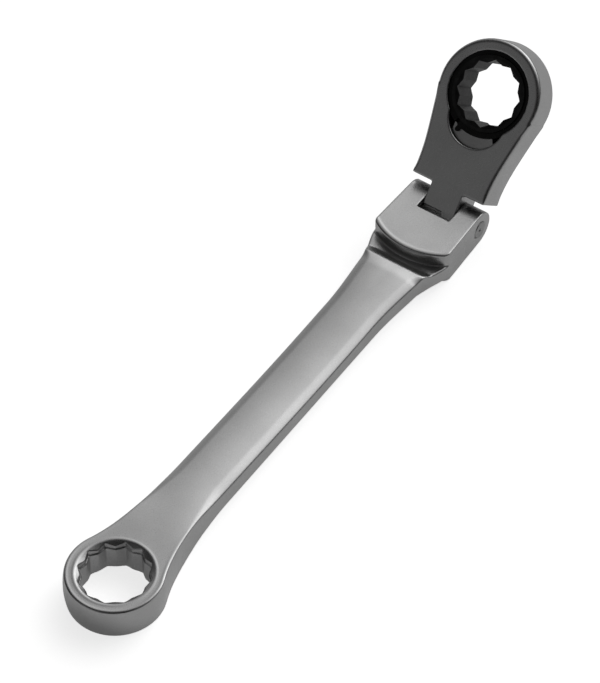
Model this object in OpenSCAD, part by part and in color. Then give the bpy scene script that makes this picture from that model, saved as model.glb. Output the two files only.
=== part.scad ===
// Flex-head ratcheting ring wrench, 11 mm: fixed ring at one end, flexing ratchet ring at the other.
// Millimetres. Origin on the axis of the fixed ring's socket, on the plane the tool lies on.
// +X runs along the handle to the flex head, +Z is up out of the marked face.
// All solids of the head are built lying flat in a head frame whose origin is the hinge axis.

/* [Sockets] */
// Distance across flats of both twelve-point sockets
across_flats = 11.05; // [11.03:0.01:11.3]
// Turn of the fixed socket's points about its axis, degrees
ring_phase = 21; // [0:0.5:30]
// Turn of the ratchet socket's points about its axis, degrees
gear_phase = 11; // [0:0.5:30]

/* [Fixed ring] */
// Largest outer diameter of the fixed ring
ring_d = 18.3; // [17.8:0.1:19.5]
// Thickness of the fixed ring
ring_t = 6.7; // [6.2:0.1:7.2]
// Diameter of the lead-in at the upper face
rim_d = 13.8; // [13.4:0.1:14.4]

/* [Shank] */
// Distance from the fixed socket's axis to the hinge axis
hinge_x = 103; // [95:0.5:120]
// Height of the hinge axis above the resting plane
hinge_z = 3.9; // [3.6:0.05:4.2]
// Width of the shank at mid-length
shank_w = 10.6; // [9.5:0.1:11.5]
// Drop of the shank's upper and lower faces from the middle to the long edges
crown = 0.5; // [0.1:0.05:0.6]

/* [Fork and hinge] */
// Width over the two ears of the fork
fork_w = 15.7; // [15:0.1:16.5]
// How much wider the fork is at its rear corners, each side
fork_wider = 0.4; // [0:0.05:0.6]
// Thickness of the fork and of the head
fork_t = 7.1; // [6.9:0.1:7.5]
// Width of the slot between the ears
slot_w = 7; // [6.6:0.1:7.6]
// Distance from the hinge axis back to the bottom of the slot
slot_d = 3.95; // [3.9:0.05:4.3]
// Radius of the curved rear edge of the fork's pad, about the hinge axis
pad_r = 13.9; // [13:0.1:14.5]
// Diameter of the hinge pin
pin_d = 3.28; // [3:0.02:3.5]

/* [Ratchet head] */
// Angle the head is flexed up from straight, degrees
flex = 46; // [-90:2:90]
// Distance from the hinge axis to the ratchet axis
head_l = 23.95; // [23.5:0.05:26]
// Outer diameter of the round part of the head
head_d = 20.5; // [19.6:0.1:21]
// Diameter of the well the ratchet gear turns in
well_d = 16.1; // [16:0.02:16.3]
// Distance from the hinge axis to the shoulders beside the tongue
shoulder_x = 4.9; // [4.7:0.1:5.4]
// Distance from the ratchet axis to the back of the pawl's pocket
pocket_reach = 10.6; // [10.4:0.05:10.8]

/* [Ratchet] */
// Number of teeth on the gear
teeth = 72; // [72]
// Diameter over the tips of the gear teeth
gear_tip_d = 15.9; // [15.8:0.02:15.96]
// Depth of the gear teeth
tooth_h = 0.3; // [0.2:0.05:0.35]
// Turn of the pawl in its pocket that clears the gear, degrees
pawl_turn = 8; // [7:0.5:10]

/* [Hidden] */

$fn = 96;
chrome = [0.74, 0.75, 0.76];
black = [0.07, 0.07, 0.07];
steel = [0.52, 0.53, 0.54];
point_r = across_flats / sqrt(3);
ring_r = ring_d / 2;
face_r = ring_r - 0.65;
half_t = fork_t / 2;
half_w = fork_w / 2;
shank_half = shank_w / 2;
flare_r = 40;
flare_x = sqrt((ring_r - shank_half) * (ring_r + shank_half + 2 * flare_r));
tongue_half = slot_w / 2 - 0.1;
tongue_r = half_t;
head_r = head_d / 2;
well_r = well_d / 2;
journal_r = 7.2;
pocket_r = 5.77;
pocket_x = pocket_r - pocket_reach;
detent_y = 1.35;
detent_r = 1.15;
detent_pitch = 9;
notch_tip_r = 3.22;
notch_root_r = 2.98;
pawl_end_a = 151.5;
pawl_end_y = 4.1;
spring_x = pocket_x - 3.22;
spring_z = 0.2;
spring_hole_y = 7.2;
scoop_x = hinge_x - 17;
root_r = gear_tip_d / 2 - tooth_h;
tip_r = gear_tip_d / 2;

// ---- shared shapes -------------------------------------------------------

// Smooth step from 0 at a to 1 at b
function ease(x, a, b) =
  let (t = min(1, max(0, (x - a) / (b - a))))
  t * t * (3 - 2 * t);

// Twelve-point star: two hexagons turned by 30 degrees, standing on z = 0
module star(height, grow = 0)
{
  for (turn = [0, 30])
    rotate([0, 0, turn])
      cylinder(r = point_r + grow, h = height, $fn = 6);
}

// Socket cutter through a plate between two heights, with a lead-in cone of given radius and
// depth at each face, narrowing by the same amount at both
module socket_cut(low, high, upper_r, upper_depth, lower_r, lower_depth, narrowing)
{
  translate([0, 0, low - 1])
    star(high - low + 2);
  translate([0, 0, high - upper_depth])
    cylinder(r1 = upper_r - narrowing, r2 = upper_r + 0.002, h = upper_depth + 0.001);
  translate([0, 0, low - 0.001])
    cylinder(r1 = lower_r + 0.002, r2 = lower_r - narrowing, h = lower_depth + 0.001);
}

// Solid through equal rings of points, closed at both ends
module loft(rings)
{
  n = len(rings[0]);
  m = len(rings);
  points = [for (ring = rings) for (p = ring) p];
  sides = [for (i = [0:m - 2]) for (j = [0:n - 1])
    [i * n + j, (i + 1) * n + j, (i + 1) * n + (j + 1) % n, i * n + (j + 1) % n]];
  first = [for (j = [0:n - 1]) j];
  last = [for (j = [n - 1:-1:0]) (m - 1) * n + j];
  polyhedron(points = points, faces = concat([first], sides, [last]), convexity = 8);
}

// Round wire wound about +Z between two heights
module coil(coil_r, wire_r, low, high, turns)
{
  per_turn = 18;
  sides = 8;
  steps = turns * per_turn;
  rise = (high - low - 2 * wire_r) / steps;
  loft([for (i = [0:steps]) let (a = i * 360 / per_turn) [for (j = [0:sides - 1])
    let (b = -j * 360 / sides, r = coil_r + wire_r * cos(b))
    [r * cos(a), r * sin(a), low + wire_r + i * rise + wire_r * sin(b)]]]);
}

// Place children of the head frame in the tool frame
module flexed()
{
  translate([hinge_x, 0, hinge_z])
    rotate([0, -flex, 0])
      children();
}

// Cylinder along Y centred on the hinge axis of the current frame
module across(r, width, y = 0)
{
  translate([0, y, 0])
    rotate([90, 0, 0])
      cylinder(r = r, h = width, center = true);
}

// ---- handle --------------------------------------------------------------

// Half width of the shank at x
function shank_half_at(x) =
  x < flare_x * ring_r / (ring_r + flare_r) ? sqrt(ring_r * ring_r - x * x) - 0.02 :
  x < flare_x ? shank_half + flare_r - sqrt(flare_r * flare_r - pow(flare_x - x, 2)) :
  shank_half + 1.2 * ease(x, hinge_x - 31, hinge_x - 13)
  + (half_w - shank_half - 1.1) * ease(x, hinge_x - 18, hinge_x - 12.5);

// Height of the shank's upper face at x: level at the ring, easing down, over a soft lip and
// into a scoop before the fork
function shank_top(x) =
  ring_t - 0.02 - 0.85 * ease(x, 12, 72)
  - 0.5 * ease(x, scoop_x - 2.6, scoop_x + 2.4) - 0.9 * ease(x, scoop_x, scoop_x + 2.3);

// Height of the shank's lower face at x
function shank_low(x) =
  0.02 + 1.05 * ease(x, 8, 24) + 0.5 * ease(x, scoop_x - 1.3, scoop_x + 2);

// Drop of the faces towards the edges at x
function crown_at(x) =
  0.03 + crown * ease(x, 10, 26) * (1 - ease(x, hinge_x - 19, hinge_x - 15));

// Closed outline of the shank across X: crowned faces and upright sides
function shank_ring(x) =
  let (h = shank_half_at(x), t = shank_top(x), b = shank_low(x), c = crown_at(x))
  let (k = ease(x, 6, 16), m = (t + b) / 2)
  let (e1 = 0.66 + 0.14 * k, e2 = 0.42 - 0.27 * k, e3 = 0.2 - 0.17 * k)
  let (edge = [[h - e3, 1.15 + 0.4 * c], [h - e2, 0.35 + 1.25 * c], [h - e1, 0.92 * c],
               [h * 0.74, 0.6 * c], [h * 0.45, 0.25 * c]])
  let (under = [for (p = edge) [p[0], b + p[1]]], upper = [for (p = edge) [p[0], t - p[1]]])
  let (n = len(edge) - 1)
  concat(
    [for (i = [n:-1:0]) [x, under[i][0], under[i][1]]],
    [[x, h, m]],
    [for (p = upper) [x, p[0], p[1]]],
    [[x, 0, t]],
    [for (i = [n:-1:0]) [x, -upper[i][0], upper[i][1]]],
    [[x, -h, m]],
    [for (p = under) [x, -p[0], p[1]]],
    [[x, 0, b]]);

module shank()
{
  near = [2, 4, 6, 8, 10, 12, 14, 16, 18, 21, 25, 30, 38, 48, 58, 66];
  far = [31, 28, 26, 24, 22, 20.5, 19.4, 18.6, 17.9, 17.3, 16.9, 16.5, 16.1, 15.7, 15.3, 14.9,
         14.4, 13.4, 12, 10.5];
  loft([for (x = concat(near, [for (f = far) hinge_x - f])) shank_ring(x)]);
}

module fixed_ring()
{
  m = ring_t / 2;
  rotate_extrude()
    polygon([[0, 0], [face_r, 0], [face_r + 0.25, 0.4], [ring_r - 0.2, 1.2], [ring_r - 0.04, 2.2],
             [ring_r, m], [ring_r - 0.04, ring_t - 2.2], [ring_r - 0.2, ring_t - 1.2],
             [face_r + 0.25, ring_t - 0.4], [face_r, ring_t], [0, ring_t]]);
}

// Outline of the fork's pad from above, shrunk by an inset: curved rear edge, small round
// corners, sides closing slightly towards the hinge axis, where it ends
function pad_outline(inset) =
  let (corner = 0.8 - inset / 2, side = half_w + fork_wider - inset, r = pad_r - inset)
  let (cy = side - corner, cx = -sqrt(pow(r - corner, 2) - cy * cy))
  let (a1 = atan2(cy, -cx))
  concat(
    [for (i = [-12:12]) let (a = 180 + i * a1 / 12) [hinge_x + r * cos(a), r * sin(a)]],
    [for (i = [1:5]) let (a = 180 + a1 + i * (90 - a1) / 5)
      [hinge_x + cx + corner * cos(a), -cy + corner * sin(a)]],
    [[hinge_x, inset - half_w], [hinge_x, half_w - inset]],
    [for (i = [0:4]) let (a = 90 + i * (90 - a1) / 5)
      [hinge_x + cx + corner * cos(a), cy + corner * sin(a)]]);

// Fork block before the slot is cut: flat pad with a curved rear edge, round ear ends
module fork_block()
{
  c = 0.3;
  loft([
    at_height(pad_outline(c), hinge_z - half_t),
    at_height(pad_outline(0.07), hinge_z - half_t + 0.12),
    at_height(pad_outline(0), hinge_z - half_t + c),
    at_height(pad_outline(0), hinge_z + half_t - c),
    at_height(pad_outline(0.07), hinge_z + half_t - 0.12),
    at_height(pad_outline(c), hinge_z + half_t)]);
  translate([hinge_x, 0, hinge_z])
    rotate([90, 0, 0])
      rotate([0, 0, -90])
        rotate_extrude(angle = 180)
          polygon([[0, -half_w], [half_t - c, -half_w], [half_t - 0.12, 0.07 - half_w],
                   [half_t, c - half_w], [half_t, half_w - c], [half_t - 0.12, half_w - 0.07],
                   [half_t - c, half_w], [0, half_w]]);
}

// Forged handle: fixed ring, crowned shank and fork in one piece
module handle()
{
  color(chrome)
    difference()
    {
      union()
      {
        fixed_ring();
        shank();
        fork_block();
      }
      rotate([0, 0, ring_phase])
        socket_cut(0, ring_t, rim_d / 2, 0.75, rim_d / 2 - 0.3, 0.55, 1.15);
      // slight step just inside the upper lead-in
      translate([0, 0, ring_t - 1.35])
        rotate([0, 0, ring_phase])
          star(2, 0.27);
      // slot for the tongue
      translate([hinge_x - slot_d, -slot_w / 2, hinge_z - 6])
        cube([12, slot_w, 12]);
      // pin hole through both ears, lightly broken edges outside
      translate([hinge_x, 0, hinge_z])
      {
        across(pin_d / 2 + 0.01, fork_w + 2);
        for (s = [-1, 1])
          translate([0, s * (half_w - 0.12), 0])
            rotate([-90 * s, 0, 0])
              cylinder(r1 = pin_d / 2 + 0.01, r2 = pin_d / 2 + 0.2, h = 0.19);
      }
      // drilled hole for the detent spring and plunger
      translate([hinge_x - slot_d - 7.2, detent_y, hinge_z])
        rotate([0, 90, 0])
          cylinder(r = detent_r, h = 8);
    }
}

// Hinge pin pressed through both ears, flush at both ends, with a centre mark
module hinge_pin()
{
  r = pin_d / 2;
  l = half_w - 0.03;
  color(steel)
    translate([hinge_x, 0, hinge_z])
      difference()
      {
        rotate([90, 0, 0])
          rotate_extrude()
            polygon([[0, -l], [r - 0.18, -l], [r, 0.18 - l], [r, l - 0.18], [r - 0.18, l], [0, l]]);
        translate([0, -l - 0.01, 0])
          rotate([-90, 0, 0])
            cylinder(r1 = 0.45, r2 = 0.05, h = 0.35);
      }
}

// Plunger with a pointed nose that rides on the notched end of the tongue
module detent_plunger()
{
  r = detent_r - 0.05;
  reach = hinge_x - notch_tip_r - 0.03;
  body = 3.1;
  color(steel)
    translate([reach - body, detent_y, hinge_z])
      rotate([0, 90, 0])
        rotate_extrude()
          polygon([[0, 0], [r - 0.1, 0], [r, 0.1], [r, body - 1], [r - 0.12, body - 0.76],
                   [r - 0.4, body - 0.54], [0.4, body - 0.34], [0.22, body - 0.1], [0.12, body], [0, body]]);
}

// Compression spring behind the plunger
module detent_spring()
{
  low = hinge_x - slot_d - 7.1;
  high = hinge_x - notch_tip_r - 0.03 - 3.1 - 0.02;
  color(steel)
    translate([0, detent_y, hinge_z])
      rotate([0, 90, 0])
        coil(0.86, 0.14, low, high, 8);
}

// ---- head, built flat about the hinge axis -------------------------------

// Outline of the head seen from above, shrunk by an inset; starts at the near left shoulder
function head_outline(inset) =
  let (neck_x = 10, neck_y = half_w - 0.1 - inset, r = head_r - inset)
  let (dx = head_l - neck_x, dist = sqrt(dx * dx + neck_y * neck_y))
  let (a0 = 180 - atan2(neck_y, dx) - acos(r / dist))
  concat(
    [[shoulder_x + inset * 0.4, -neck_y], [neck_x - 1.5, -neck_y], [neck_x + 0.6, -neck_y - 0.1]],
    [for (i = [0:44]) let (a = -a0 + i * 2 * a0 / 44) [head_l + r * cos(a), r * sin(a)]],
    [[neck_x + 0.6, neck_y + 0.1], [neck_x - 1.5, neck_y], [shoulder_x + inset * 0.4, neck_y]]);

function at_height(outline, z) = [for (p = outline) [p[0], p[1], z]];

// Head plate with rounded upper and lower edges
module head_plate()
{
  loft([
    at_height(head_outline(0.7), -half_t),
    at_height(head_outline(0.3), 0.14 - half_t),
    at_height(head_outline(0.06), 0.5 - half_t),
    at_height(head_outline(0), 0.95 - half_t),
    at_height(head_outline(0), half_t - 0.95),
    at_height(head_outline(0.06), half_t - 0.5),
    at_height(head_outline(0.3), half_t - 0.14),
    at_height(head_outline(0.7), half_t)]);
}

// Notched disc: the profile the detent plunger clicks along
module notched_disc(width)
{
  n = 360 / detent_pitch;
  low = 180 - flex;
  rotate([90, 0, 0])
    linear_extrude(width, center = true)
      polygon([for (i = [0:n - 1]) for (k = [0, 1])
        let (a = low + (i + 0.5 * k) * detent_pitch, r = k == 0 ? notch_root_r : notch_tip_r)
        [r * cos(a), r * sin(a)]]);
}

// Tongue with a round end; the left part of the end is stepped down and notched
module tongue()
{
  notch_right = -0.7;
  notch_w = tongue_half + 0.5 - notch_right;
  notch_y = notch_right + notch_w / 2;
  difference()
  {
    union()
    {
      across(tongue_r, 2 * tongue_half);
      translate([0, -tongue_half, -half_t])
        cube([shoulder_x + 3, 2 * tongue_half, fork_t]);
    }
    difference()
    {
      translate([-6, notch_right, -6])
        cube([6.4, notch_w, 12]);
      translate([0, notch_y, 0])
        notched_disc(notch_w + 1);
    }
  }
}

// Ratchet head body: ring with stepped well, pawl pocket, neck, shoulders and tongue
module head_body()
{
  color(chrome)
    flexed()
      difference()
      {
        union()
        {
          head_plate();
          tongue();
        }
        translate([head_l, 0, 0])
        {
          // well for the toothed band, open at the upper face
          translate([0, 0, -2.5])
            cylinder(r = well_r, h = 8);
          // lower journal bore
          translate([0, 0, -6])
            cylinder(r = journal_r + 0.05, h = 6);
          // groove for the retaining ring
          translate([0, 0, 2.75])
            cylinder(r = well_r + 0.35, h = 0.4);
          // pocket for the pawl
          translate([pocket_x, 0, -2.3])
            cylinder(r = pocket_r, h = 8);
          // broken edge round the pocket
          translate([pocket_x, 0, half_t - 0.22])
            cylinder(r1 = pocket_r, r2 = pocket_r + 0.3, h = 0.3);
        }
        // blind hole beside the pocket for the pawl spring
        translate([head_l + spring_x, spring_hole_y, spring_z])
          rotate([90, 0, 0])
            cylinder(r = 0.8, h = spring_hole_y - pawl_end_y + 0.2);
        across(pin_d / 2 + 0.06, 20);
      }
}

// Outline of the toothed band from one tooth to another, grown by a clearance
function tooth_line(grow, first = 0, last = teeth - 1) =
  [for (i = [first:last]) for (k = [0:3])
    let (a = (i + [-0.42, -0.08, 0.08, 0.42][k]) * 360 / teeth)
    let (r = (k == 0 || k == 3 ? root_r : tip_r) + grow)
    [r * cos(a), r * sin(a)]];

// Ratchet gear: toothed band between two journals, twelve-point socket through it
module ratchet_gear()
{
  low = 0.08 - half_t;
  high = half_t - 0.1;
  color(black)
    flexed()
      translate([head_l, 0, 0])
        difference()
        {
          union()
          {
            translate([0, 0, low])
              cylinder(r = journal_r, h = high - low);
            translate([0, 0, -2.42])
              linear_extrude(4.8)
                polygon(tooth_line(0));
          }
          rotate([0, 0, gear_phase])
            socket_cut(low, high, point_r + 0.15, 0.3, point_r + 0.15, 0.3, 0.9);
        }
}

// Flat snap ring that holds the gear down, with a tail hooked into the pocket
module retaining_ring()
{
  tail_a = 160;
  color(black)
    flexed()
      translate([head_l, 0, 2.8])
        difference()
        {
          union()
          {
            cylinder(r = well_r + 0.3, h = 0.3);
            rotate([0, 0, tail_a])
              translate([journal_r + 0.4, -0.47, 0])
                cube([1.3, 0.94, 0.3]);
            rotate([0, 0, tail_a])
              translate([journal_r + 1.7, 0, 0])
                cylinder(r = 0.47, h = 0.3);
          }
          translate([0, 0, -1])
            cylinder(r = journal_r + 0.08, h = 3);
          // split of the ring, just beyond the tail
          rotate([0, 0, tail_a - 7])
            translate([0, -0.35, -1])
              cube([12, 0.7, 3]);
        }
}

// Toothed pawl that locks the gear. Its round back turns in the pocket about the pocket's axis:
// turned towards its spring, the teeth on the right leave the gear
module pawl()
{
  low = -2.24;
  tall = 4.9;
  color(steel)
    flexed()
      translate([head_l, 0, low])
        difference()
        {
          translate([pocket_x, 0, 0])
            cylinder(r = pocket_r - 0.06, h = tall);
          // gaps for the gear's teeth, at rest and half way through the pawl's turn
          for (turn = [0, pawl_turn / 2])
            translate([pocket_x, 0, -1])
              rotate([0, 0, turn])
                translate([-pocket_x, 0, 0])
                  linear_extrude(tall + 2)
                    polygon(concat([[0, 0]], tooth_line(0.1, 27, 45)));
          // room for the whole gear once the pawl has turned
          translate([pocket_x, 0, -1])
            rotate([0, 0, pawl_turn])
              translate([-pocket_x, 0, 0])
                cylinder(r = tip_r + 0.05, h = tall + 2);
          // flat ends: the right one level with a radius of the gear, the left one for the spring
          rotate([0, 0, -pawl_end_a])
            translate([-12, 0, -1])
              cube([30, 30, tall + 2]);
          translate([-12, pawl_end_y, -1])
            cube([30, 30, tall + 2]);
        }
}

// Small compression spring beside the pocket, pressing the pawl's left end
module pawl_spring()
{
  color(steel)
    flexed()
      translate([head_l + spring_x, 0, spring_z])
        rotate([-90, 0, 0])
          coil(0.53, 0.12, pawl_end_y + 0.03, spring_hole_y - 0.03, 6);
}

handle();
hinge_pin();
detent_plunger();
detent_spring();
head_body();
ratchet_gear();
retaining_ring();
pawl();
pawl_spring();
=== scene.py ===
"""Looks of the flex-head ratcheting ring wrench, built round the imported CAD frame.

The two forgings are skinned from signed-distance fields in millimetres, so that their
edges and hollows are rounded as forged and plated metal is. The notched end of the
tongue and the two springs are small meshes. The other pieces are the CAD nodes with
bevels and materials.
"""

import itertools
import math

import bpy
import numpy as np
from mathutils import Matrix, Vector


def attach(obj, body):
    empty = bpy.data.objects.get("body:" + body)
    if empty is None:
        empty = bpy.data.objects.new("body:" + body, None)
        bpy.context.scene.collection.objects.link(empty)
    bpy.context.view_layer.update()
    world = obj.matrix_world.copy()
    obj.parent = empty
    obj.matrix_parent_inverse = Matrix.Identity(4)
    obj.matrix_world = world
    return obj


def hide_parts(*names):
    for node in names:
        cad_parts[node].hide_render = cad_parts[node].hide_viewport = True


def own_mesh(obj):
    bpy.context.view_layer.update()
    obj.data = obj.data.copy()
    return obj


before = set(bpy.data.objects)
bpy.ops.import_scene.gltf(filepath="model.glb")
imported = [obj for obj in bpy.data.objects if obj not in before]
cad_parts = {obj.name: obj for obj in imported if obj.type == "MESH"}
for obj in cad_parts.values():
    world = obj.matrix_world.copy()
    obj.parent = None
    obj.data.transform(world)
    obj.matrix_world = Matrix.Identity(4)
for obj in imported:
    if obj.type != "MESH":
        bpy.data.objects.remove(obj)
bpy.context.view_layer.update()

MM = 0.001

# ---- sizes, mostly the same as the CAD's, in millimetres and degrees ------

# fixed ring and its socket
ACROSS_FLATS = 11.05
RING_PHASE = 21
RING_R = 9.15
RING_T = 6.7
RIM_R, LOWER_RIM_R = 6.9, 6.6
LEAD_WIDE, LEAD_DEEP = 1.15, 0.75
STEP_WIDE, STEP_DEPTH = 0.24, 1.35
COINED = 0.04

# shank, with a crowned face, chamfered long edges and a scoop before the fork
SHANK_HALF = 5.3
NECK_WIDER = 1.2
FLARE_R = 40
FLARE_X = math.sqrt((RING_R - SHANK_HALF) * (RING_R + SHANK_HALF + 2 * FLARE_R))
CROWN = 0.42
CHAMFER_DROP, CHAMFER_SLOPE = 0.95, math.radians(36)
HINGE_X, HINGE_Z = 103, 3.9
SCOOP_X = HINGE_X - 17
SHANK_END = HINGE_X - 5.5
LOW_RISE = 1.05

# fork, slot, pin and the detent's drilling
FORK_HALF, FORK_WIDER = 7.85, 0.4
FORK_LONG = 10.5
HALF_T = 3.55
SLOT_HALF = 3.5
SLOT_D = 3.95
PAD_R = 13.9
PAD_CORNER = 0.8
PAD_EDGE = 0.28
PAD_RIM = 0.05
PIN_R = 1.64
PIN_MARK_WIDE, PIN_MARK_DEEP = 0.14, 0.3
DETENT_Y = 1.35
DRILL_R, DRILL_DEPTH = 1.15, 11.1

# head, measured from the hinge, with its neck, well, pocket and tongue
FLEX = 46
HEAD_L = 23.95
HEAD_R = 10.25
NECK_X, NECK_HALF, NECK_BEND = 10, 7.75, 3
SHOULDER_X = 4.9
WELL_R, WELL_FLOOR = 8.05, -2.5
GROOVE_DEEP, GROOVE_Z, GROOVE_HALF = 0.35, 2.95, 0.2
JOURNAL_R = 7.2
POCKET_R, POCKET_FLOOR = 5.77, -2.3
POCKET_X = HEAD_L + POCKET_R - 10.6
SPRING_X, SPRING_Z, SPRING_HOLE_R = POCKET_X - 3.22, 0.2, 0.8
SPRING_HOLE_START, SPRING_HOLE_END = 3.9, 7.2
TONGUE_HALF = 3.4
TONGUE_ROOT = SHOULDER_X + 2
NOTCH_ROOT, NOTCH_TIP, NOTCH_PITCH = 3.04, 3.22, 9
NOTCH_RIGHT = -0.7
NOTCH_X = 0.4

HEAD_TURN = (Matrix.Translation((HINGE_X * MM, 0, HINGE_Z * MM))
             @ Matrix.Rotation(math.radians(-FLEX), 4, "Y"))


# ---- distance-field tools ------------------------------------------------

def ease(x, a, b):
    t = np.clip((x - a) / (b - a), 0, 1)
    return t * t * (3 - 2 * t)


def bump_at(d, half):
    """A smooth bump of height 1 at d = 0, gone at half on either side."""
    return (1 - np.clip(d / half, -1, 1) ** 2) ** 2


def both(a, b, r):
    """Inside both a and b, the edge between them rounded to radius r."""
    u, v = np.maximum(r + a, 0), np.maximum(r + b, 0)
    return np.minimum(-r, np.maximum(a, b)) + np.hypot(u, v)


def either(a, b, r):
    """Inside a or b, the corner between them filled to radius r."""
    u, v = np.maximum(r - a, 0), np.maximum(r - b, 0)
    return np.maximum(r, np.minimum(a, b)) - np.hypot(u, v)


def hexagon(x, y, turn):
    """Distance to a hexagon across flats, one corner at the angle turn."""
    flat = ACROSS_FLATS / 2
    far = None
    for k in range(3):
        a = math.radians(turn + 30 + 60 * k)
        d = np.abs(x * math.cos(a) + y * math.sin(a)) - flat
        far = d if far is None else np.maximum(far, d)
    return far


def star(x, y, turn):
    """Distance to the twelve-point socket's outline."""
    return either(hexagon(x, y, turn), hexagon(x, y, turn + 30), 0.12)


# ---- the two forgings ----------------------------------------------------

def shank_top(x):
    """Level at the ring, easing down, over a soft lip and into a scoop before the fork."""
    scoop = 0.5 * ease(x, SCOOP_X - 2.6, SCOOP_X + 2.4) + 0.9 * ease(x, SCOOP_X, SCOOP_X + 2.3)
    return RING_T - 1.02 * ease(x, 12, 58) + 0.32 * ease(x, 58, 84) - scoop


def shank_low(x):
    """Level of the shank's lower face, rising from the ring's and again at the scoop."""
    return LOW_RISE * ease(x, 8, 24) + 0.5 * ease(x, SCOOP_X - 1.3, SCOOP_X + 2)


def fork_half(x):
    """Half width of the fork: it widens a little from the ears back to the pad's edge."""
    return FORK_HALF + FORK_WIDER * np.clip((HINGE_X - x) / FORK_LONG, 0, 1)


def half_width(x):
    """Half width of the shank and fork past the ring's flare."""
    neck = SHANK_HALF + NECK_WIDER * ease(x, HINGE_X - 31, HINGE_X - 13)
    shoulder = FORK_HALF + FORK_WIDER - SHANK_HALF - NECK_WIDER
    neck = neck + shoulder * ease(x, HINGE_X - 18, HINGE_X - FORK_LONG)
    return np.where(x < HINGE_X - FORK_LONG, neck, fork_half(x))


def handle_plan(x, y):
    """Distance to the handle's outline seen from above, without the slot."""
    side = np.abs(y)
    ring = np.hypot(x, y) - RING_R
    flare_y = SHANK_HALF + FLARE_R
    flare = FLARE_R - np.hypot(x - FLARE_X, side - flare_y)
    past_ring = flare_y * (x - FLARE_X) - FLARE_X * (side - flare_y) > 0
    slope = (half_width(x + 0.05) - half_width(x - 0.05)) / 0.1
    straight = (side - half_width(x)) / np.sqrt(1 + slope * slope)
    return np.where(x > FLARE_X, straight, np.where(past_ring, flare, ring))


def handle_field(x, y, z):
    """The handle: fixed ring, shank and fork, as it lies on the floor."""
    plan = handle_plan(x, y)
    near_ring = 1 - ease(x, 4, 15)
    mid = RING_T / 2
    plan_side = plan + near_ring * 0.3 * ((z - mid) / mid) ** 2
    # faces fall away towards the long edges, which are chamfered
    crowned = ease(x, 10, 26) * (1 - ease(x, HINGE_X - 19, HINGE_X - 15))
    inward = np.clip(-plan, 0, SHANK_HALF)
    fall = CROWN * crowned * (1 - inward / SHANK_HALF) ** 2
    across, along = math.sin(CHAMFER_SLOPE), math.cos(CHAMFER_SLOPE)
    drop = CHAMFER_DROP * crowned - 0.5 * (1 - crowned)
    bevel_top = plan * across + (z - shank_top(x) + drop) * along
    bevel_low = plan * across + (shank_low(x) + drop - z) * along
    # coined rims, barely proud of the faces
    r = np.hypot(x, y)
    bead = bump_at(r - RIM_R - 0.3, 0.35) + bump_at(plan + 0.62, 0.45) * (1 - ease(x, 2, 12))
    end = x - SHANK_END
    top = np.maximum(z - (shank_top(x) - fall + COINED * bead), end)
    low = np.maximum(shank_low(x) + fall - z, end)
    # fork pads, with round ear ends
    ears = np.hypot(x - HINGE_X, z - HINGE_Z) - HALF_T
    from_arc = np.hypot(x - HINGE_X, y) - PAD_R
    pad_side = both(from_arc, np.abs(y) - fork_half(x), PAD_CORNER)
    rim = PAD_RIM * bump_at(from_arc + 0.65, 0.45) * (x < HINGE_X)
    pad_top = both(np.where(x > HINGE_X, ears, z - HINGE_Z - HALF_T - rim), pad_side, PAD_EDGE)
    pad_low = both(np.where(x > HINGE_X, ears, HINGE_Z - HALF_T - z), pad_side, PAD_EDGE)
    top = either(both(top, bevel_top, 0.5), pad_top, 0.2)
    low = either(both(low, bevel_low, 0.5), pad_low, 0.4)
    body = both(plan_side, np.maximum(top, low), 0.33)
    # twelve-point socket with a lead-in at both faces, and a slight step below the upper one
    lead = LEAD_WIDE / LEAD_DEEP
    norm = math.sqrt(1 + lead * lead)
    upper = (r - RIM_R + (RING_T - z) * lead) / norm
    lower = (r - LOWER_RIM_R + z * lead) / norm
    points = star(x, y, RING_PHASE)
    step = np.maximum(points - STEP_WIDE, RING_T - STEP_DEPTH - z)
    hole = np.minimum(np.minimum(points, step), np.minimum(upper, lower))
    body = both(body, -hole, 0.07)
    # slot between the ears, pin hole with a thin mark round the pin's ends, detent's drilling
    slot = both(np.abs(y) - SLOT_HALF, HINGE_X - SLOT_D - x, 0.15)
    body = both(body, -slot, 0.14)
    from_pin = np.hypot(x - HINGE_X, z - HINGE_Z)
    body = both(body, PIN_R + 0.01 - from_pin, 0.05)
    mark = np.maximum(from_pin - PIN_R - PIN_MARK_WIDE, FORK_HALF - PIN_MARK_DEEP - np.abs(y))
    body = np.maximum(body, -mark)
    drill = np.hypot(y - DETENT_Y, z - HINGE_Z) - DRILL_R
    drill = np.maximum(drill, np.maximum(HINGE_X - DRILL_DEPTH - x, x - HINGE_X))
    return np.maximum(body, -drill)


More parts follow.
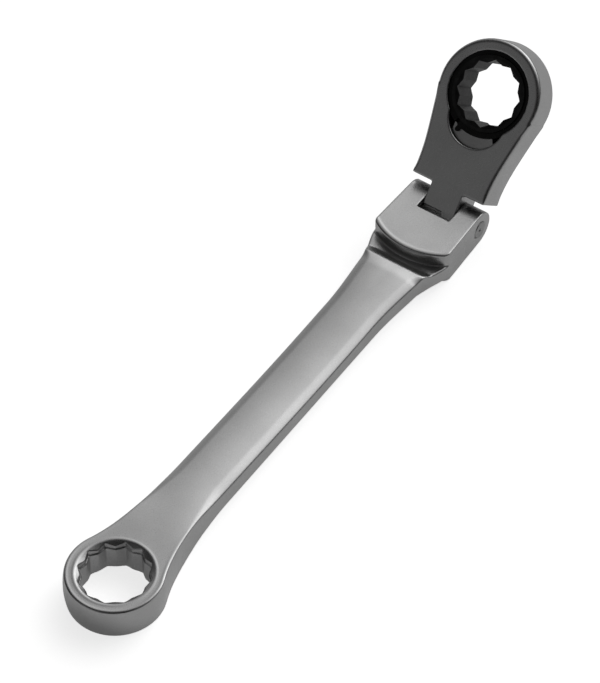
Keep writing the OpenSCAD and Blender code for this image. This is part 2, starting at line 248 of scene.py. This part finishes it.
def head_field(x, y, z):
    """The ratchet head, lying flat about its hinge axis."""
    side = np.abs(y)
    from_gear = np.hypot(x - HEAD_L, y)
    # the neck's sides run straight, then bend out to meet the ring along its tangent
    past_neck = x - NECK_X
    rise = math.tan(math.asin(HEAD_R / math.hypot(HEAD_L - NECK_X, NECK_HALF))
                    - math.atan(NECK_HALF / (HEAD_L - NECK_X)))
    bend = past_neck + np.sqrt(past_neck * past_neck + NECK_BEND ** 2)
    neck = side - NECK_HALF - rise / 2 * bend
    neck = np.maximum(neck / math.hypot(1, rise), x - HEAD_L + HEAD_R * math.sin(math.atan(rise)))
    plan = either(from_gear - HEAD_R, neck, 0.3)
    plan = both(plan, SHOULDER_X - x, 0.25)
    tongue = both(side - TONGUE_HALF, x - TONGUE_ROOT, 0.1)
    plan = either(plan, tongue, 0.35)
    from_hinge = np.hypot(x, z)
    faces = np.where(x > 0, np.abs(z), from_hinge) - HALF_T
    soft = 0.12 + 0.66 * ease(x, 4.2, 7)
    body = both(plan, faces, soft)
    # left part of the tongue's round end, stepped down for the notched mesh
    cut = both(both(NOTCH_RIGHT - y, x - NOTCH_X, 0.05), NOTCH_ROOT - 0.1 - from_hinge, 0.05)
    body = both(body, -cut, 0.05)
    # well, lower bore, ring groove, pawl pocket and the pawl spring's hole
    well = np.maximum(from_gear - WELL_R, WELL_FLOOR - z)
    bore = from_gear - JOURNAL_R - 0.05
    groove = np.maximum(from_gear - WELL_R - GROOVE_DEEP, np.abs(z - GROOVE_Z) - GROOVE_HALF)
    pocket = np.maximum(np.hypot(x - POCKET_X, y) - POCKET_R, POCKET_FLOOR - z)
    hole_ends = np.maximum(SPRING_HOLE_START - y, y - SPRING_HOLE_END)
    spring_hole = np.maximum(np.hypot(x - SPRING_X, z - SPRING_Z) - SPRING_HOLE_R, hole_ends)
    body = both(body, -np.minimum(well, bore), 0.1)
    body = both(body, -pocket, 0.24)
    body = np.maximum(body, -np.minimum(groove, spring_hole))
    return both(body, PIN_R + 0.06 - from_hinge, 0.1)


# ---- skinning ------------------------------------------------------------

def ticks(*spans):
    """Grid lines: (start, stop, step) stretches joined end to end."""
    out = []
    for start, stop, step in spans:
        n = max(1, round((stop - start) / step))
        out.extend(start + (stop - start) * i / n for i in range(n))
    return np.array(out + [spans[-1][1]])


def slope_of(field, p, h=0.004):
    """The field's slope at each point, from central differences."""
    g = np.empty_like(p)
    for k in range(3):
        d = np.zeros(3)
        d[k] = h
        a, b = p + d, p - d
        g[:, k] = (field(*a.T) - field(*b.T)) / (2 * h)
    return g


def settle(field, p, rounds=3):
    """Moves points onto the field's zero surface."""
    for _ in range(rounds):
        g = slope_of(field, p)
        d = field(*p.T) / np.maximum((g * g).sum(1), 0.25)
        p = p - np.clip(d, -0.08, 0.08)[:, None] * g
    return p


def skin(field, xs, ys, zs, relax=2):
    """Vertices and quads of the field's zero surface, one vertex in each cell it crosses."""
    axes = (xs, ys, zs)
    f = field(*np.meshgrid(xs, ys, zs, indexing="ij"))
    inside = f < 0
    n = f.shape
    count = sum(inside[i:n[0] - 1 + i, j:n[1] - 1 + j, k:n[2] - 1 + k].astype(np.int8)
                for i, j, k in itertools.product((0, 1), repeat=3))
    cells = np.argwhere((count > 0) & (count < 8))
    index = np.full(tuple(m - 1 for m in n), -1)
    index[tuple(cells.T)] = np.arange(len(cells))
    total, hits = np.zeros((len(cells), 3)), np.zeros(len(cells))

    def corner_at(c):
        return np.stack([axes[k][c[:, k]] for k in range(3)], 1)

    # each vertex starts at the mean of the crossings on its cell's twelve edges
    for axis in range(3):
        u, v = (axis + 1) % 3, (axis + 2) % 3
        for i, j in itertools.product((0, 1), repeat=2):
            a = cells.copy()
            a[:, u] += i
            a[:, v] += j
            b = a.copy()
            b[:, axis] += 1
            fa, fb = f[tuple(a.T)], f[tuple(b.T)]
            cross = (fa < 0) != (fb < 0)
            t = (fa / np.where(cross, fa - fb, 1))[:, None]
            start = corner_at(a)
            total += np.where(cross[:, None], start + t * (corner_at(b) - start), 0)
            hits += cross
    points = total / hits[:, None]
    # one quad round each grid edge that the surface crosses, facing out
    quads = []
    for axis in range(3):
        u, v = (axis + 1) % 3, (axis + 2) % 3
        low = [slice(None)] * 3
        high = [slice(None)] * 3
        low[axis], high[axis] = slice(0, -1), slice(1, None)
        s0, s1 = inside[tuple(low)], inside[tuple(high)]
        edges = np.argwhere(s0 != s1)
        keep = np.ones(len(edges), bool)
        for w in (u, v):
            keep &= (edges[:, w] > 0) & (edges[:, w] < n[w] - 1)
        edges = edges[keep]
        du, dv = np.zeros(3, int), np.zeros(3, int)
        du[u], dv[v] = 1, 1
        four = np.stack([index[tuple((edges - o).T)] for o in (0 * du, du, du + dv, dv)], 1)
        out = s0[tuple(edges.T)]
        four[~out] = four[~out][:, ::-1]
        quads.append(four)
    quads = np.concatenate(quads)
    # even the vertices out among their neighbours, and settle them back on the surface
    a, b = quads.ravel(), np.roll(quads, -1, 1).ravel()
    for _ in range(relax):
        s, c = np.zeros_like(points), np.zeros(len(points))
        for p, q in ((a, b), (b, a)):
            for k in range(3):
                s[:, k] += np.bincount(p, points[q, k], len(points))
            c += np.bincount(p, minlength=len(points))
        points = settle(field, 0.5 * points + 0.5 * s / c[:, None], 2)
    return settle(field, points), quads.tolist()


def coil(coil_r, wire_r, low, high, turns, per_turn=28, sides=10):
    """Round wire wound about +X between two heights, closed at both ends."""
    steps = turns * per_turn
    a = np.arange(steps + 1)[:, None] * 2 * math.pi / per_turn
    b = np.arange(sides)[None, :] * 2 * math.pi / sides
    rise = (high - low - 2 * wire_r) / steps
    r = coil_r + wire_r * np.cos(b)
    along = low + wire_r + np.arange(steps + 1)[:, None] * rise + wire_r * np.sin(b)
    points = np.stack([along, r * np.cos(a), r * np.sin(a)], -1).reshape(-1, 3)
    faces = []
    for i, j in itertools.product(range(steps), range(sides)):
        here = i * sides + j
        beside = i * sides + (j + 1) % sides
        faces.append((here, here + sides, beside + sides, beside))
    faces.append(tuple(range(sides)))
    faces.append(tuple(steps * sides + j for j in reversed(range(sides))))
    return points, faces


def make_piece(name, points, faces, body, turn=None):
    """A smooth mesh from points in millimetres, riding on a body of the CAD."""
    mesh = bpy.data.meshes.new(name)
    mesh.from_pydata((points * MM).tolist(), [], faces)
    mesh.update()
    mesh.shade_smooth()
    if turn is not None:
        mesh.transform(turn)
    piece = bpy.data.objects.new(name, mesh)
    bpy.context.scene.collection.objects.link(piece)
    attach(piece, body)
    return piece


# ---- materials -----------------------------------------------------------

# height of the metals' fine grain, in metres
GRAIN_DEPTH = 0.00003


def new_material(name, color, metallic, rough):
    material = bpy.data.materials.new(name)
    material.use_nodes = True
    tree = material.node_tree
    shader = tree.nodes["Principled BSDF"]
    shader.inputs["Base Color"].default_value = (*color, 1)
    shader.inputs["Metallic"].default_value = metallic
    shader.inputs["Roughness"].default_value = rough
    return material, tree, shader


def noise(tree, scale, detail, rough=0.5):
    coords = tree.nodes.new("ShaderNodeTexCoord")
    node = tree.nodes.new("ShaderNodeTexNoise")
    node.inputs["Scale"].default_value = scale
    node.inputs["Detail"].default_value = detail
    node.inputs["Roughness"].default_value = rough
    tree.links.new(coords.outputs["Object"], node.inputs["Vector"])
    return node.outputs["Fac"]


def spread(tree, value, low, high, a, b):
    """Maps value from low..high to a..b."""
    node = tree.nodes.new("ShaderNodeMapRange")
    node.inputs["From Min"].default_value = low
    node.inputs["From Max"].default_value = high
    node.inputs["To Min"].default_value = a
    node.inputs["To Max"].default_value = b
    tree.links.new(value, node.inputs["Value"])
    return node.outputs["Result"]


def mix_colors(tree, factor, a, b):
    # a colour mix node's factor, A and B are its inputs 0, 6 and 7
    node = tree.nodes.new("ShaderNodeMix")
    node.data_type = "RGBA"
    node.inputs[6].default_value = (*a, 1)
    node.inputs[7].default_value = (*b, 1)
    tree.links.new(factor, node.inputs[0])
    return node.outputs[2]


def bump(tree, shader, height, strength):
    node = tree.nodes.new("ShaderNodeBump")
    node.inputs["Strength"].default_value = strength
    node.inputs["Distance"].default_value = GRAIN_DEPTH
    tree.links.new(height, node.inputs["Height"])
    tree.links.new(node.outputs["Normal"], shader.inputs["Normal"])


def satin_metal(name, dark, light, rough):
    """Blasted and plated metal: fine grain, faint clouding, slightly uneven gloss."""
    material, tree, shader = new_material(name, light, 1.0, rough)
    cloud = spread(tree, noise(tree, 140, 4), 0.3, 0.7, 0, 1)
    tree.links.new(mix_colors(tree, cloud, dark, light), shader.inputs["Base Color"])
    fine = noise(tree, 5200, 3, 0.7)
    gloss = spread(tree, fine, 0.3, 0.7, rough - 0.05, rough + 0.07)
    tree.links.new(gloss, shader.inputs["Roughness"])
    bump(tree, shader, fine, 0.35)
    return material


def dark_steel(name, color, worn, rough):
    """Black-oxide steel with a faint worn sheen."""
    material, tree, shader = new_material(name, color, 0.6, rough)
    cloud = spread(tree, noise(tree, 500, 5, 0.6), 0.45, 0.75, 0, 1)
    tree.links.new(mix_colors(tree, cloud, color, worn), shader.inputs["Base Color"])
    fine = noise(tree, 4200, 3)
    gloss = spread(tree, fine, 0.3, 0.7, rough - 0.06, rough + 0.08)
    tree.links.new(gloss, shader.inputs["Roughness"])
    bump(tree, shader, fine, 0.3)
    return material


chrome = satin_metal("satin_chrome", (0.48, 0.48, 0.48), (0.53, 0.53, 0.53), 0.3)
# painted shade: the head's chrome is a copy of the handle's, made a little darker
shaded_head_chrome = satin_metal("satin_chrome_head_painted_shade", (0.46, 0.46, 0.46), (0.51, 0.51, 0.51), 0.3)
pin_metal = satin_metal("pin_steel", (0.34, 0.34, 0.34), (0.42, 0.42, 0.42), 0.34)
pawl_metal = satin_metal("pawl_steel", (0.42, 0.42, 0.42), (0.5, 0.5, 0.5), 0.36)
inner_metal = satin_metal("inner_steel", (0.34, 0.34, 0.34), (0.44, 0.44, 0.44), 0.3)
gear_black = dark_steel("gear_black", (0.012, 0.012, 0.012), (0.03, 0.03, 0.03), 0.42)
ring_black = dark_steel("ring_black", (0.006, 0.006, 0.006), (0.014, 0.014, 0.014), 0.45)

CAD_LOOKS = {"hinge_pin": pin_metal, "detent_plunger": inner_metal, "ratchet_gear": gear_black,
             "retaining_ring": ring_black, "pawl": pawl_metal}
# widths of the bevels, in millimetres
BEVELS = {"ratchet_gear": 0.08, "retaining_ring": 0.05, "pawl": 0.08, "hinge_pin": 0.05}
RIB_BEVEL = 0.1

for node, material in CAD_LOOKS.items():
    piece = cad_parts[node]
    if len(piece.data.materials) == 0:
        piece.data.materials.append(material)
    for material_slot in piece.material_slots:
        material_slot.material = material
    if node in BEVELS:
        bevel = piece.modifiers.new("edge", "BEVEL")
        bevel.width = BEVELS[node] * MM
        bevel.segments = 2
        bevel.limit_method = "ANGLE"
        bevel.angle_limit = math.radians(32)
        bevel.harden_normals = False

# ---- pieces --------------------------------------------------------------

# step of the grids where edges need it; the shank's plain middle takes a coarser one
FINE = 0.19

handle_grid = (
    ticks((-9.4, 9.8, FINE), (9.8, 20, FINE * 1.8), (20, 76, 0.8), (76, 86, FINE * 1.6),
          (86, 107, FINE)),
    ticks((-9.5, 9.5, FINE)),
    ticks((-0.25, 7.75, FINE)))
points, faces = skin(handle_field, *handle_grid)
handle = make_piece("forged_handle", points, faces, "handle_body")
handle.data.materials.append(chrome)
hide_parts("handle")

head_grid = (
    ticks((-3.85, 34.6, FINE)),
    ticks((-10.7, 10.7, FINE)),
    ticks((-3.9, 3.9, FINE)))
points, faces = skin(head_field, *head_grid)
head = make_piece("ratchet_head", points, faces, "flex_head", HEAD_TURN)
# the head takes the darker copy of the chrome, its painted shade
head.data.materials.append(shaded_head_chrome)
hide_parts("head_body")

# the notched end of the tongue, the ribs that the detent plunger clicks along
half_pitch = NOTCH_PITCH / 2
rib_angles = [180 - FLEX - 4 * NOTCH_PITCH + k * half_pitch for k in range(-2, 39)]
rim_line = [(NOTCH_TIP if k % 2 else NOTCH_ROOT, math.radians(a)) for k, a in enumerate(rib_angles)]
core_line = [(NOTCH_ROOT - 0.6, a) for _, a in rim_line]
rib_sides = (NOTCH_RIGHT - 0.1, TONGUE_HALF)
rib_points = np.array([(r * math.cos(a), y, r * math.sin(a))
                       for y in rib_sides for line in (rim_line, core_line) for r, a in line])
n = len(rim_line)
# the points come in four rows of n: rim and core at the one side, rim and core at the other
rib_faces = [(a * n + k, a * n + k + 1, b * n + k + 1, b * n + k)
             for a, b in ((0, 2), (3, 1), (1, 0), (2, 3)) for k in range(n - 1)]
rib_faces += [(0, 2 * n, 3 * n, n), (n - 1, 2 * n - 1, 4 * n - 1, 3 * n - 1)]
ribs = make_piece("detent_notches", rib_points, rib_faces, "flex_head", HEAD_TURN)
# the ribs take the head's darker chrome, with the same painted shade
ribs.data.materials.append(shaded_head_chrome)
rounding = ribs.modifiers.new("edge", "BEVEL")
rounding.width = RIB_BEVEL * MM
rounding.segments = 2

# the two springs
DETENT_END, DETENT_TIP, DETENT_PRESS = 91.95, 96.63, 0.42
points, faces = coil(coil_r=0.86, wire_r=0.14, low=DETENT_END, high=DETENT_TIP, turns=8)
points += (0, DETENT_Y, HINGE_Z)
detent_spring = make_piece("coil_detent_spring", points, faces, "handle_body")
PAWL_TIP, PAWL_END, PAWL_PRESS = 4.13, 7.17, 0.46
points, faces = coil(coil_r=0.53, wire_r=0.12, low=PAWL_TIP, high=PAWL_END, turns=6)
# laid along Y, which mirrors it, so its faces are turned back outward
points = points[:, (1, 0, 2)] + (SPRING_X, 0, SPRING_Z)
faces = [face[::-1] for face in faces]
pawl_spring = make_piece("coil_pawl_spring", points, faces, "flex_head", HEAD_TURN)
for spring in (detent_spring, pawl_spring):
    spring.data.materials.append(inner_metal)
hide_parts("detent_spring")
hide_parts("pawl_spring")
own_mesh(detent_spring)
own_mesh(pawl_spring)

# ---- floor, light and camera ---------------------------------------------

# the floor looks white; in the tool's reflections it is dimmer and ends a little way off
FLOOR_HALF = 3
FLOOR_GREY = (0.86, 0.86, 0.86)
FLOOR_LIFT, FLOOR_GLOW = 0.75, 0.14
FLOOR_MIDDLE = (0.13, 0.03, 0)
REACH_NEAR, REACH_FAR = 0.17, 0.42

floor_corners = [(FLOOR_HALF * a, FLOOR_HALF * b, 0) for a, b in ((-1, -1), (1, -1), (1, 1), (-1, 1))]
floor_mesh = bpy.data.meshes.new("floor")
floor_mesh.from_pydata(floor_corners, [], [(0, 1, 2, 3)])
floor = bpy.data.objects.new("floor", floor_mesh)
bpy.context.scene.collection.objects.link(floor)
floor_look, floor_tree, floor_shader = new_material("pale_floor", FLOOR_GREY, 0.0, 0.9)
floor_mesh.materials.append(floor_look)
floor_seen = floor_tree.nodes.new("ShaderNodeLightPath").outputs["Is Camera Ray"]
place = floor_tree.nodes.new("ShaderNodeTexCoord").outputs["Object"]
away = floor_tree.nodes.new("ShaderNodeVectorMath")
away.operation = "DISTANCE"
away.inputs[1].default_value = FLOOR_MIDDLE
floor_tree.links.new(place, away.inputs[0])
near = spread(floor_tree, away.outputs["Value"], REACH_NEAR, REACH_FAR, 1, 0.05)
shown = floor_tree.nodes.new("ShaderNodeMath")
shown.operation = "MAXIMUM"
floor_tree.links.new(near, shown.inputs[0])
floor_tree.links.new(floor_seen, shown.inputs[1])
floor_tree.links.new(mix_colors(floor_tree, shown.outputs[0], (0, 0, 0), FLOOR_GREY),
                     floor_shader.inputs["Base Color"])
lift = floor_tree.nodes.new("ShaderNodeMath")
lift.operation = "MULTIPLY"
floor_tree.links.new(spread(floor_tree, floor_seen, 0, 1, FLOOR_GLOW, FLOOR_LIFT), lift.inputs[0])
floor_tree.links.new(shown.outputs[0], lift.inputs[1])
floor_tree.links.new(lift.outputs[0], floor_shader.inputs["Emission Strength"])
floor_shader.inputs["Emission Color"].default_value = (1, 1, 1, 1)

# each light's direction, how tightly it is gathered, and its strength: a broad soft one
# beyond the head, a faint one at the left and a low one beyond the tool's long side, in a
# dark room
KEY_LIGHT = ((0.85, -0.1, 0.5), 12, 2.6)
SIDE_LIGHT = ((-0.9, 0.35, 0.25), 20, 0.28)
LOW_LIGHT = ((0.5, 0.86, 0.04), 24, 0.5)
KEY_FADES, KEY_WHOLE = 0.12, 0.5
GLOW = 0.015

world = bpy.data.worlds.new("studio")
bpy.context.scene.world = world
world.use_nodes = True
sky = world.node_tree


def sky_math(kind, *values):
    node = sky.nodes.new("ShaderNodeMath")
    node.operation = kind
    for k, value in enumerate(values):
        if isinstance(value, (int, float)):
            node.inputs[k].default_value = value
        else:
            sky.links.new(value, node.inputs[k])
    return node.outputs[0]


def lobe(toward, focus, power):
    """Brightness that falls off smoothly round the direction toward."""
    facing = sky.nodes.new("ShaderNodeVectorMath")
    facing.operation = "DOT_PRODUCT"
    facing.inputs[1].default_value = Vector(toward).normalized()
    sky.links.new(heading, facing.inputs[0])
    near = sky_math("MULTIPLY_ADD", facing.outputs["Value"], 0.5, 0.5)
    return sky_math("MULTIPLY", sky_math("POWER", near, focus), power)


heading = sky.nodes.new("ShaderNodeTexCoord").outputs["Generated"]
split = sky.nodes.new("ShaderNodeSeparateXYZ")
sky.links.new(heading, split.inputs[0])
rise = sky.nodes.new("ShaderNodeMapRange")
rise.interpolation_type = "SMOOTHSTEP"
rise.inputs["From Min"].default_value = KEY_FADES
rise.inputs["From Max"].default_value = KEY_WHOLE
sky.links.new(split.outputs["Z"], rise.inputs["Value"])
key = sky_math("MULTIPLY", lobe(*KEY_LIGHT), rise.outputs["Result"])
side = lobe(*SIDE_LIGHT)
low = lobe(*LOW_LIGHT)
glow = sky_math("ADD", sky_math("ADD", key, side), sky_math("ADD", low, GLOW))
# the camera itself sees plain white behind the tool
seen = sky.nodes.new("ShaderNodeLightPath").outputs["Is Camera Ray"]
backdrop = sky_math("MAXIMUM", glow, seen)
sky.links.new(backdrop, sky.nodes["Background"].inputs["Strength"])
sky.nodes["Background"].inputs["Color"].default_value = (1, 1, 1, 1)

scene = bpy.context.scene
scene.view_settings.view_transform = "Standard"

# the camera's tilt, turn about Z and roll in degrees, a point near the middle of its view, and
# how far it stands beside, above and back from that point along its own axes, in millimetres
CAM_TILT, CAM_AZ, CAM_ROLL = 40.323, 54.103, 1.578
MIDDLE_POINT = Vector((60, 0, HINGE_Z))
CAM_SIDE, CAM_UP, CAM_BACK = -2.3869, 3.3290, 718.6
LENS, SENSOR = 210.26, 36


def turned(degrees, axis):
    return Matrix.Rotation(math.radians(degrees), 3, axis)


# rows of this matrix are the camera's right, up and back directions
axes = turned(CAM_ROLL, "Z") @ turned(-CAM_TILT, "X") @ turned(CAM_AZ, "Z")
cam_data = bpy.data.cameras.new("camera")
camera = bpy.data.objects.new("camera", cam_data)
scene.collection.objects.link(camera)
scene.camera = camera
offset = Vector((CAM_SIDE, CAM_UP, CAM_BACK))
eye = MIDDLE_POINT + axes.transposed() @ offset
camera.matrix_world = Matrix.Translation(eye * MM) @ axes.transposed().to_4x4()
cam_data.sensor_fit = "VERTICAL"
cam_data.sensor_height = SENSOR
cam_data.lens = LENS
cam_data.clip_start = 0.01
cam_data.clip_end = 20
